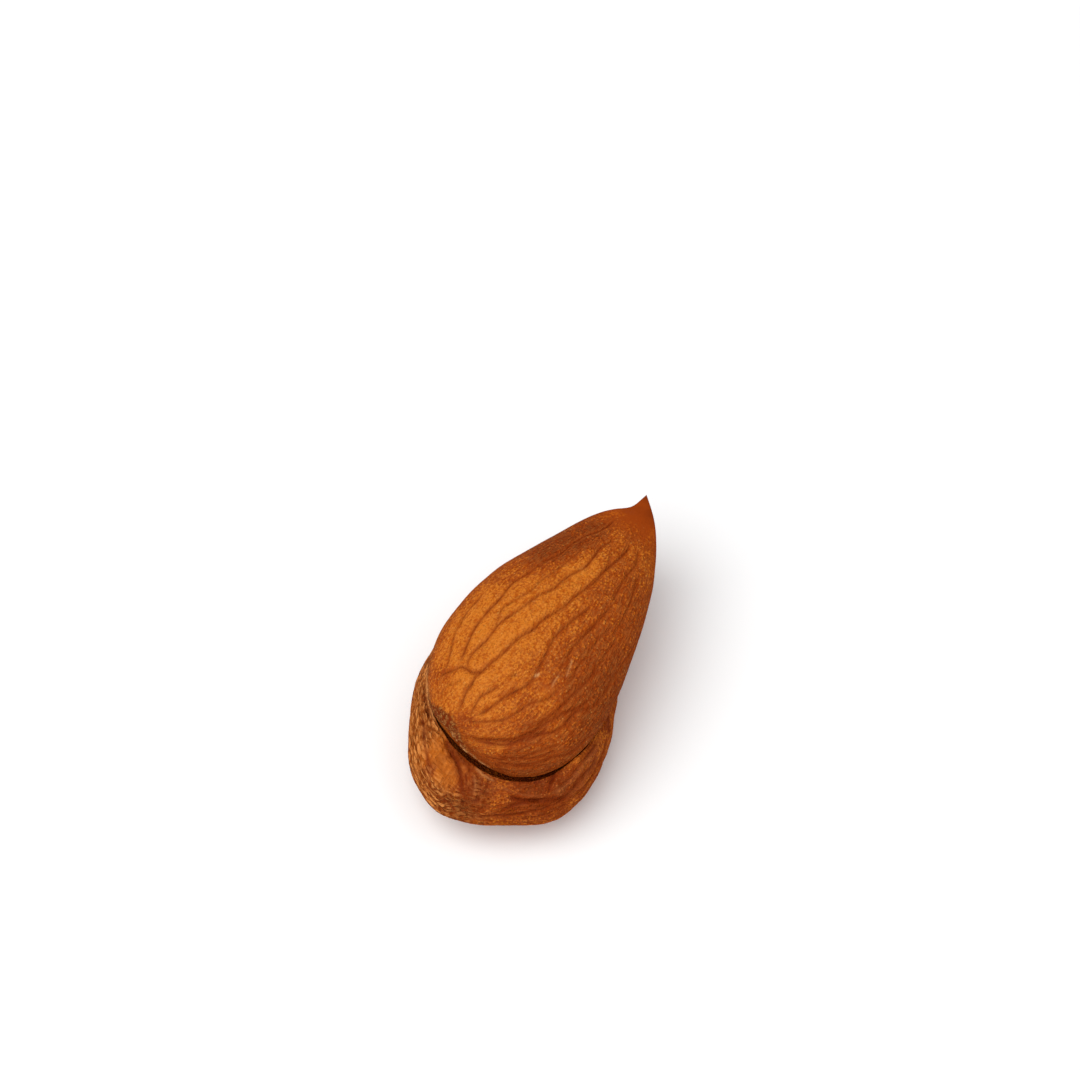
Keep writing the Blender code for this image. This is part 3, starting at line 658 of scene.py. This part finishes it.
def makeLower(look):
    rows = np.concatenate([
        np.linspace(-1, 0, look["bellyRows"], endpoint=False),
        np.linspace(0, 1, look["shoulderRows"], endpoint=False),
        np.linspace(1, 2, look["hollowRows"]),
    ])[::-1]
    before = (look["columns"] - look["seenColumns"]) * look["seenFrom"] / (1 - look["seenTo"] + look["seenFrom"])
    columns = np.interp(
        np.arange(look["columns"]),
        [0, before, before + look["seenColumns"], look["columns"]],
        [0, look["seenFrom"], look["seenTo"], 1],
    )
    level, share = np.meshgrid(rows, columns, indexing="ij")
    points = lowerSurface(share, level)
    across, along, up = np.moveaxis(points, -1, 0)
    outside = 1 - smoothStep(level, 0.97, 1.03)
    height01 = np.clip(level, 0, 1)
    middle, half = widthAt(lowerShape, along)
    overRim = (up - lowerShape["rise"] - rimHeight(points[..., :2])) / lowerShape["bottom"]
    turn = np.arctan2(overRim, (across - middle) / np.maximum(half, 0.6))
    way = np.stack([4.5 * np.cos(turn), 4.5 * np.sin(turn), along], axis=-1)

    bulge = hill(np.linalg.norm(points - lowerSurface(*np.array([[0.453], [0.70]]))[0], axis=-1), 1.3)
    height = look["undulation"] * slopeNoise(points, 1.6, 11) + 0.25 * bulge
    net = creaseNet(way * [1, 1, 0.32], 0.42, 0.16, 12) + 0.7 * creaseNet(way * [1, 1, 0.32], 0.24, 0.2, 13)
    net = net * (1 - 0.75 * bulge)
    for spot, radius, amount in look["dents"]:
        centre = lowerSurface(*np.array(spot)[:, None])[0]
        height -= amount * hill(np.linalg.norm(points - centre, axis=-1), radius)
    mouth = smoothStep(share, 0.42, 0.44) * (1 - smoothStep(share, 0.525, 0.54))
    mouth = mouth * smoothStep(level, 0.25, 0.45) * (1 - smoothStep(level, 0.9, 0.98))
    fold = mouth * creaseNet(np.stack([62 * share, 1.2 * level, 0 * level], axis=-1), 0.42, 0.25, 19)
    height -= look["wrinkle"] * net + look["fold"] * fold * (0.4 + 0.6 * smoothStep(share, 0.46, 0.49))
    drift = 0.10 * slopeNoise(way, 4.0, 14) + 0.04 * slopeNoise(way, 1.5, 15)
    line = hiddenVeins(turn + drift, along, np.maximum(half, 2), look["veins"])
    strength = (0.6 + 0.4 * slopeNoise(way, 2.0, 16)) * np.clip((21 - along) / 5, 0, 1)
    strength = strength * (1 - 0.8 * smoothStep(level, 0.1, 0.5)) * smoothStep(along, -2.5, 1.0)
    height -= look["veinDepth"] * strength * hill(line, 0.17)
    vein = 0.7 * strength * hill(line, 0.15) + 0.2 * net * smoothStep(level, -0.6, 0.0) + 0.5 * fold
    flush = 0.7 * strength * hill(line, 0.45)
    pale = np.zeros_like(level)
    edge = 0.93 - 0.13 * hill(share - 0.465, 0.030) - 0.08 * hill(share - 0.60, 0.035)
    shade = 0.4 * smoothStep(level, edge, 1.02) + 0.15 * smoothStep(level, 1.02, 1.3)
    shade *= 1 - 0.5 * smoothStep(share, 0.60, 0.65)

    bearing = np.degrees(polar(points[..., :2])[1])
    valley = look["valley"]
    axis = valley["atRim"] + (valley["atCrest"] - valley["atRim"]) * height01
    sag = hill(bearing - axis, valley["spread"]) * np.sin(np.pi * (0.1 + 0.8 * height01)) * (level > 0)
    height -= valley["depth"] * sag
    for up, width, red, light, dark, marks in look["lines"].values():
        curve, shares = splineOn(lowerSurface, marks)
        off, walked = offCurve(points, curve, shares, 2.0)
        core = taper(walked) * hill(off, width) * (0.75 + 0.4 * slopeNoise(points, 0.8, 18))
        height += up * core
        vein = np.maximum(vein, red * core)
        flush = np.maximum(flush, red * taper(walked) * hill(off, 2.5 * width))
        pale = np.maximum(pale, light * core)
        shade = np.maximum(shade, dark * core)
    shade = shade * (1 - np.clip(2.5 * pale, 0, 1))
    tone = np.zeros_like(level)
    for spot, radius, amount in look["tones"]:
        centre = lowerSurface(np.array([spot[0]]), np.array([spot[1]]))[0]
        tone += amount * hill(np.linalg.norm(points - centre, axis=-1), radius)
    scar = hill(np.linalg.norm(points - [1.0, -2.4, 3.9], axis=-1), 0.9)
    calm = smoothStep(share, 0.40, 0.435) * (1 - smoothStep(share, 0.49, 0.52)) * smoothStep(level, 0.4, 0.65)
    wrinkled = 0.12 + 0.88 * smoothStep(share, 0.12, 0.30) * (1 - smoothStep(share, 0.47, 0.55))
    wrinkled = wrinkled * (1 - 0.75 * calm) * outside * (1 - np.clip(1.5 * pale, 0, 1))
    lumps = slopeNoise(points, 0.3, 17)
    height += 0.10 * scar * lumps
    height *= outside
    points = points + outwardNormals(points) * height[..., None]
    points[..., 2] = np.maximum(points[..., 2], frameOrigin[2])
    masks = {
        "vein": np.clip(vein, 0, 1), "flush": np.clip(flush, 0, 1), "cork": 0.5 * scar,
        "wrinkled": np.clip(wrinkled, 0, 1), "smooth": 0.4 * calm * outside,
        "pale": np.clip(pale, 0, 1), "shade": np.clip(shade, 0, 1), "tone": np.clip(0.5 + 0.5 * tone, -0.4, 1),
    }
    around = 2 * np.pi * share
    climb = np.where(level < 0, 7 * level, 3.2 * level)
    flow = np.stack([2.1 * np.cos(around), 2.1 * np.sin(around), climb], axis=-1)
    return closedSkin("lower_kernel_skin", points, masks, flow)


# Material building

def plug(tree, socket, value):
    # a socket takes either another node's output or a plain value
    if isinstance(value, bpy.types.NodeSocket):
        tree.links.new(value, socket)
    else:
        socket.default_value = value


def mixColour(tree, amount, first, second, way="MIX"):
    node = tree.nodes.new("ShaderNodeMix")
    node.data_type = "RGBA"
    node.blend_type = way
    for place, value in ((0, amount), (6, first), (7, second)):
        plug(tree, node.inputs[place], value)
    return node.outputs[2]


def maths(tree, operation, *values, clamp=False):
    node = tree.nodes.new("ShaderNodeMath")
    node.operation = operation
    node.use_clamp = clamp
    for place, value in enumerate(values):
        plug(tree, node.inputs[place], value)
    return node.outputs[0]


def spread(tree, value, low, high, toLow=0.0, toHigh=1.0):
    node = tree.nodes.new("ShaderNodeMapRange")
    node.interpolation_type = "SMOOTHSTEP"
    for place, given in enumerate((value, low, high, toLow, toHigh)):
        plug(tree, node.inputs[place], given)
    return node.outputs[0]


def scaled(tree, vector, scale):
    node = tree.nodes.new("ShaderNodeVectorMath")
    node.operation = "MULTIPLY"
    plug(tree, node.inputs[0], vector)
    node.inputs[1].default_value = scale
    return node.outputs[0]


def cloudy(tree, vector, scale, detail, roughness=0.5):
    node = tree.nodes.new("ShaderNodeTexNoise")
    plug(tree, node.inputs["Vector"], vector)
    node.inputs["Scale"].default_value = scale
    node.inputs["Detail"].default_value = detail
    node.inputs["Roughness"].default_value = roughness
    return node.outputs[0]


def strayed(tree, vector, scale, amount):
    # a vector moved by coloured noise, as far as amount
    noise = tree.nodes.new("ShaderNodeTexNoise")
    noise.inputs["Scale"].default_value = scale
    noise.inputs["Detail"].default_value = 3.0
    plug(tree, noise.inputs["Vector"], vector)
    moved = tree.nodes.new("ShaderNodeVectorMath")
    moved.operation = "MULTIPLY_ADD"
    plug(tree, moved.inputs[0], noise.outputs["Color"])
    moved.inputs[1].default_value = amount
    plug(tree, moved.inputs[2], vector)
    return moved.outputs[0]


def newGroup(name, inputs, outputs):
    # an empty node group whose sockets are named, with its input and output nodes
    tree = bpy.data.node_groups.new(name, "ShaderNodeTree")
    for label, kind, value in inputs:
        socket = tree.interface.new_socket(label, in_out="INPUT", socket_type=kind)
        if value is not None:
            socket.default_value = value
    for label, kind in outputs:
        tree.interface.new_socket(label, in_out="OUTPUT", socket_type=kind)
    return tree, tree.nodes.new("NodeGroupInput").outputs, tree.nodes.new("NodeGroupOutput").inputs


def useGroup(tree, group, **values):
    node = tree.nodes.new("ShaderNodeGroup")
    node.node_tree = group
    for label, value in values.items():
        plug(tree, node.inputs[label], value)
    return node.outputs


number, tint, arrow = "NodeSocketFloat", "NodeSocketColor", "NodeSocketVector"


def makeSkinPattern():
    # the grain that both skins share, in millimetres: granules, fibres along the growth, blotches
    # and scattered bright specks
    tree, given, out = newGroup(
        "skinPattern",
        [("Place", arrow, None), ("Way", arrow, None)],
        [("Granules", number), ("Fibres", number), ("Blotches", number), ("Specks", number),
         ("Furrows", number), ("Lumps", number)],
    )
    round = tree.nodes.new("ShaderNodeTexVoronoi")
    plug(tree, round.inputs["Vector"], scaled(tree, given["Place"], (1, 0.85, 1)))
    round.inputs["Scale"].default_value = 4.6
    grains = spread(tree, round.outputs["Distance"], 0.1, 0.7, 1.0, 0.0)
    patchy = spread(tree, cloudy(tree, given["Place"], 1.1, 2), 0.35, 0.62, 0.4, 0.9)
    fine = spread(tree, cloudy(tree, given["Place"], 7.5, 2), 0.3, 0.7, 0.0, 0.7)
    plug(tree, out["Granules"], maths(tree, "MULTIPLY_ADD", grains, patchy, fine))
    long = cloudy(tree, given["Way"], 5.0, 2, 0.5)
    plug(tree, out["Fibres"], spread(tree, long, 0.34, 0.66))
    plug(tree, out["Blotches"], spread(tree, cloudy(tree, given["Place"], 0.8, 4, 0.7), 0.3, 0.7))
    cells = tree.nodes.new("ShaderNodeTexVoronoi")
    plug(tree, cells.inputs["Vector"], given["Place"])
    cells.inputs["Scale"].default_value = 3.6
    dots = spread(tree, cells.outputs["Distance"], 0.12, 0.30, 1.0, 0.0)
    some = spread(tree, cloudy(tree, given["Place"], 1.7, 2), 0.5, 0.62)
    plug(tree, out["Specks"], maths(tree, "MULTIPLY", dots, some))
    scales = tree.nodes.new("ShaderNodeTexVoronoi")
    scales.feature = "DISTANCE_TO_EDGE"
    scales.inputs["Scale"].default_value = 4.8
    plug(tree, scales.inputs["Vector"], strayed(tree, given["Way"], 2.4, (0.45, 0.45, 0.6)))
    folds = spread(tree, scales.outputs["Distance"], 0.0, 0.30, 1.0, 0.0)
    worn = spread(tree, cloudy(tree, given["Place"], 2.2, 2), 0.3, 0.6, 0.45, 1.0)
    plug(tree, out["Furrows"], maths(tree, "MULTIPLY", folds, worn))
    beads = tree.nodes.new("ShaderNodeTexVoronoi")
    beads.inputs["Scale"].default_value = 4.2
    plug(tree, beads.inputs["Vector"], strayed(tree, given["Place"], 3.5, (0.4, 0.4, 0.4)))
    crumbs = spread(tree, beads.outputs["Distance"], 0.15, 0.75, 1.0, 0.0)
    broken = spread(tree, cloudy(tree, given["Place"], 6.0, 3, 0.6), 0.32, 0.6, 0.35, 1.0)
    plug(tree, out["Lumps"], maths(tree, "MULTIPLY", crumbs, broken))
    return tree


def makeSkinColour():
    # ground mixed from deep to gold by tone and grain, then flush, veins, cork, pale scars and marks with a painted
    # highlight on the lip, and painted shade
    tree, given, out = newGroup(
        "skinColour",
        [("Deep", tint, None), ("Middle", tint, None), ("Gold", tint, None), ("Speck", tint, None),
         ("Flushed", tint, None), ("Veined", tint, None), ("Corky", tint, None), ("PaleMarksAndHighlight", tint, None),
         ("Shaded", tint, None), ("Granules", number, 0.5), ("Fibres", number, 0.5),
         ("Blotches", number, 0.5), ("Specks", number, 0.0), ("Furrows", number, 0.0), ("Lumps", number, 0.5),
         ("Grain", number, 0.5), ("tone", number, 0.5), ("vein", number, 0.0), ("flush", number, 0.0),
         ("cork", number, 0.0), ("pale", number, 0.0), ("shade", number, 0.0), ("wrinkled", number, 0.0),
         ("smooth", number, 0.0)],
        [("Colour", tint)],
    )
    strength = maths(tree, "MULTIPLY", given["Grain"], maths(tree, "SUBTRACT", 1.0, given["smooth"]))
    strength = maths(tree, "MULTIPLY", strength, maths(tree, "MULTIPLY_ADD", given["tone"], -0.7, 1.55))
    grain = maths(tree, "MULTIPLY", maths(tree, "SUBTRACT", given["Granules"], 0.55), strength)
    threads = maths(tree, "MULTIPLY_ADD", given["Fibres"], 0.12, -0.06)
    threads = maths(tree, "MULTIPLY", threads, maths(tree, "SUBTRACT", 1.0, given["smooth"]))
    patches = maths(tree, "MULTIPLY_ADD", given["Blotches"], 0.26, -0.13)
    warmth = maths(tree, "ADD", given["tone"], maths(tree, "ADD", grain, maths(tree, "ADD", threads, patches)))
    dark = mixColour(tree, spread(tree, warmth, -0.55, 0.15), given["Veined"], given["Deep"])
    low = mixColour(tree, spread(tree, warmth, 0.15, 0.5), dark, given["Middle"])
    ground = mixColour(tree, spread(tree, warmth, 0.46, 0.9), low, given["Gold"])
    colour = mixColour(tree, maths(tree, "MULTIPLY", given["flush"], 0.8), ground, given["Flushed"])
    furrow = maths(tree, "MULTIPLY", given["wrinkled"], given["Furrows"])
    ridge = maths(tree, "SUBTRACT", given["wrinkled"], furrow)
    colour = mixColour(tree, maths(tree, "MULTIPLY", ridge, 0.85), colour, given["Speck"])
    colour = mixColour(tree, maths(tree, "MULTIPLY", furrow, 0.75), colour, given["Veined"])
    bright = maths(tree, "MULTIPLY", given["Specks"], maths(tree, "SUBTRACT", 0.3, maths(tree, "MULTIPLY", given["smooth"], 0.3)))
    colour = mixColour(tree, bright, colour, given["Speck"])
    rough = maths(tree, "MULTIPLY_ADD", given["Granules"], 0.3, 0.7)
    colour = mixColour(tree, maths(tree, "MULTIPLY", given["vein"], rough), colour, given["Veined"])
    lumpy = mixColour(tree, given["Lumps"], given["Veined"], given["Corky"])
    colour = mixColour(tree, given["cork"], colour, lumpy)
    colour = mixColour(tree, given["pale"], colour, given["PaleMarksAndHighlight"])
    colour = mixColour(tree, given["shade"], colour, given["Shaded"])
    plug(tree, out["Colour"], colour)
    return tree


def makeSkinFeel():
    # height for the bump and roughness, from the same grain
    tree, given, out = newGroup(
        "skinFeel",
        [("Granules", number, 0.5), ("Fibres", number, 0.5), ("Furrows", number, 0.0), ("Lumps", number, 0.5),
         ("cork", number, 0.0), ("wrinkled", number, 0.0), ("smooth", number, 0.0), ("Dull", number, 0.5)],
        [("Height", number), ("Roughness", number)],
    )
    fine = maths(tree, "MULTIPLY_ADD", given["Fibres"], 0.6, given["Granules"])
    fine = maths(tree, "MULTIPLY", fine, maths(tree, "SUBTRACT", 1.0, given["smooth"]))
    lumps = maths(tree, "MULTIPLY", maths(tree, "MULTIPLY", given["cork"], given["Lumps"]), 2.0)
    furrows = maths(tree, "MULTIPLY", maths(tree, "MULTIPLY", given["wrinkled"], given["Furrows"]), 1.6)
    plug(tree, out["Height"], maths(tree, "SUBTRACT", maths(tree, "ADD", fine, lumps), furrows))
    low = maths(tree, "MULTIPLY_ADD", given["Granules"], -0.12, given["Dull"])
    plug(tree, out["Roughness"], maths(tree, "MULTIPLY_ADD", given["cork"], 0.3, low, clamp=True))
    return tree


def skinMaterial(name, look, pattern, colouring, feel):
    material = bpy.data.materials.new(name)
    material.use_nodes = True
    tree = material.node_tree
    shader = tree.nodes["Principled BSDF"]
    place = tree.nodes.new("ShaderNodeTexCoord")
    toMillimetres = tree.nodes.new("ShaderNodeMapping")
    toMillimetres.inputs["Scale"].default_value = (1000, 1000, 1000)
    tree.links.new(place.outputs["Object"], toMillimetres.inputs["Vector"])
    masks = {}
    for mask in ("way", "tone", "vein", "flush", "cork", "pale", "shade", "wrinkled", "smooth"):
        reader = tree.nodes.new("ShaderNodeAttribute")
        reader.attribute_name = mask
        masks[mask] = reader.outputs["Vector" if mask == "way" else "Fac"]
    grain = useGroup(tree, pattern, Place=toMillimetres.outputs[0], Way=masks.pop("way"))
    tints = {label: (*value, 1) for label, value in look["tints"].items()}
    colour = useGroup(
        tree, colouring, **tints, **masks, **{label: grain[label] for label in
            ("Granules", "Fibres", "Blotches", "Specks", "Furrows", "Lumps")}, Grain=look["grain"],
    )
    tree.links.new(colour["Colour"], shader.inputs["Base Color"])
    touch = useGroup(
        tree, feel, Granules=grain["Granules"], Fibres=grain["Fibres"], Furrows=grain["Furrows"],
        Lumps=grain["Lumps"], cork=masks["cork"], wrinkled=masks["wrinkled"], smooth=masks["smooth"],
        Dull=look["dull"],
    )
    tree.links.new(touch["Roughness"], shader.inputs["Roughness"])
    bump = tree.nodes.new("ShaderNodeBump")
    bump.inputs["Strength"].default_value = 1.0
    bump.inputs["Distance"].default_value = look["bump"] * mm
    tree.links.new(touch["Height"], bump.inputs["Height"])
    tree.links.new(bump.outputs[0], shader.inputs["Normal"])
    shader.inputs["Specular IOR Level"].default_value = 0.0
    shader.inputs["Coat Weight"].default_value = look["coat"]
    shader.inputs["Coat Roughness"].default_value = look["coatRoughness"]
    return material


upperFinish = {
    "tints": {
        "Deep": (0.32, 0.049, 0.004), "Middle": (0.46, 0.092, 0.006), "Gold": (0.66, 0.182, 0.016),
        "Speck": (0.80, 0.40, 0.10), "Flushed": (0.36, 0.058, 0.004), "Veined": (0.20, 0.028, 0.003),
        "Corky": (0.50, 0.195, 0.050), "PaleMarksAndHighlight": (0.74, 0.36, 0.13), "Shaded": (0.12, 0.014, 0.003),
    },
    "grain": 0.55, "dull": 0.52, "bump": 0.07, "coat": 0.04, "coatRoughness": 0.4,
}
lowerFinish = {
    "tints": {
        "Deep": (0.27, 0.040, 0.004), "Middle": (0.42, 0.081, 0.007), "Gold": (0.64, 0.165, 0.014),
        "Speck": (0.80, 0.30, 0.075), "Flushed": (0.28, 0.038, 0.003), "Veined": (0.17, 0.024, 0.002),
        "Corky": (0.42, 0.150, 0.035), "PaleMarksAndHighlight": (0.70, 0.32, 0.11), "Shaded": (0.13, 0.012, 0.003),
    },
    "grain": 0.65, "dull": 0.56, "bump": 0.08, "coat": 0.04, "coatRoughness": 0.4,
}

pattern, colouring, feel = makeSkinPattern(), makeSkinColour(), makeSkinFeel()
upper = makeUpper(upperKernel)
upper.data.materials.append(skinMaterial("almondSkin", upperFinish, pattern, colouring, feel))
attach(upper, "root")
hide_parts("upper_kernel")
lower = makeLower(lowerKernel)
lower.data.materials.append(skinMaterial("almondSkinDark", lowerFinish, pattern, colouring, feel))
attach(lower, "root")
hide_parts("lower_kernel")
print("kernels made")

# Camera

view = {"azimuth": 29.0, "elevation": 60.0, "lens": 120.0, "sensor": 36.0, "pixelsPerMm": 14.5,
        "lookAt": (-0.245, 0.544, 5.937), "right": -0.345, "up": 7.241}
azimuth, elevation = math.radians(view["azimuth"]), math.radians(view["elevation"])
cameraRight = np.array([math.cos(azimuth), math.sin(azimuth), 0])
cameraBack = np.array([
    math.sin(azimuth) * math.cos(elevation), -math.cos(azimuth) * math.cos(elevation), math.sin(elevation),
])
cameraUp = np.cross(cameraBack, cameraRight)
distance = 1080 / view["pixelsPerMm"] * view["lens"] / view["sensor"]
stand = np.array(view["lookAt"]) + cameraBack * distance + cameraRight * view["right"] + cameraUp * view["up"]
camera = bpy.data.cameras.new("camera")
camera.lens, camera.sensor_width, camera.sensor_fit = view["lens"], view["sensor"], "HORIZONTAL"
camera.clip_start, camera.clip_end = 0.01, 10
cameraObject = bpy.data.objects.new("camera", camera)
turned = np.eye(4)
turned[:3, 0], turned[:3, 1], turned[:3, 2], turned[:3, 3] = cameraRight, cameraUp, cameraBack, stand * mm
cameraObject.matrix_world = Matrix(turned.tolist())
bpy.context.scene.collection.objects.link(cameraObject)
bpy.context.scene.camera = cameraObject

# Floor, lights and world

studio = {
    "floor": (0.97, 0.97, 0.97), "world": (1.0, 1.0, 1.0), "worldStrength": 0.52,
    # place as (right, up, towards the camera) seen from the camera, in metres, then size and watts
    "lights": {
        "key": ((-0.16, 0.11, 0.37), 0.50, 1.45),
        "fill": ((0.22, 0.20, 0.32), 0.30, 0.15),
    },
}


def makeFloor(look):
    # a flat grid of corners, one metre across
    corners = np.stack(np.meshgrid([-0.6, 0.6], [-0.6, 0.6], [0.0]), axis=-1).reshape(-1, 3)
    mesh = bpy.data.meshes.new("floor")
    mesh.from_pydata(corners.tolist(), [], [(0, 1, 3, 2)])
    material = bpy.data.materials.new("paleFloor")
    material.use_nodes = True
    shader = material.node_tree.nodes["Principled BSDF"]
    shader.inputs["Base Color"].default_value = (*look["floor"], 1)
    shader.inputs["Roughness"].default_value = 0.9
    shader.inputs["Specular IOR Level"].default_value = 0.1
    mesh.materials.append(material)
    made = bpy.data.objects.new("floor", mesh)
    bpy.context.scene.collection.objects.link(made)


def makeLights(look):
    for name, (place, size, watts) in look["lights"].items():
        light = bpy.data.lights.new(name, "AREA")
        light.shape, light.size, light.energy = "DISK", size, watts
        made = bpy.data.objects.new(name, light)
        at = cameraRight * place[0] + cameraUp * place[1] + cameraBack * place[2]
        back = at / np.linalg.norm(at)
        side = np.cross([0.0, 0.0, 1.0], back)
        side /= np.linalg.norm(side)
        pose = np.eye(4)
        pose[:3, 0], pose[:3, 1], pose[:3, 2], pose[:3, 3] = side, np.cross(back, side), back, at
        made.matrix_world = Matrix(pose.tolist())
        bpy.context.scene.collection.objects.link(made)
    world = bpy.data.worlds.new("studio")
    world.use_nodes = True
    sky = world.node_tree.nodes.get("Background") or world.node_tree.nodes.new("ShaderNodeBackground")
    sky.inputs["Color"].default_value = (*look["world"], 1)
    sky.inputs["Strength"].default_value = look["worldStrength"]
    bpy.context.scene.world = world


makeFloor(studio)
makeLights(studio)
bpy.context.scene.view_settings.view_transform = "Standard"
print("studio made")
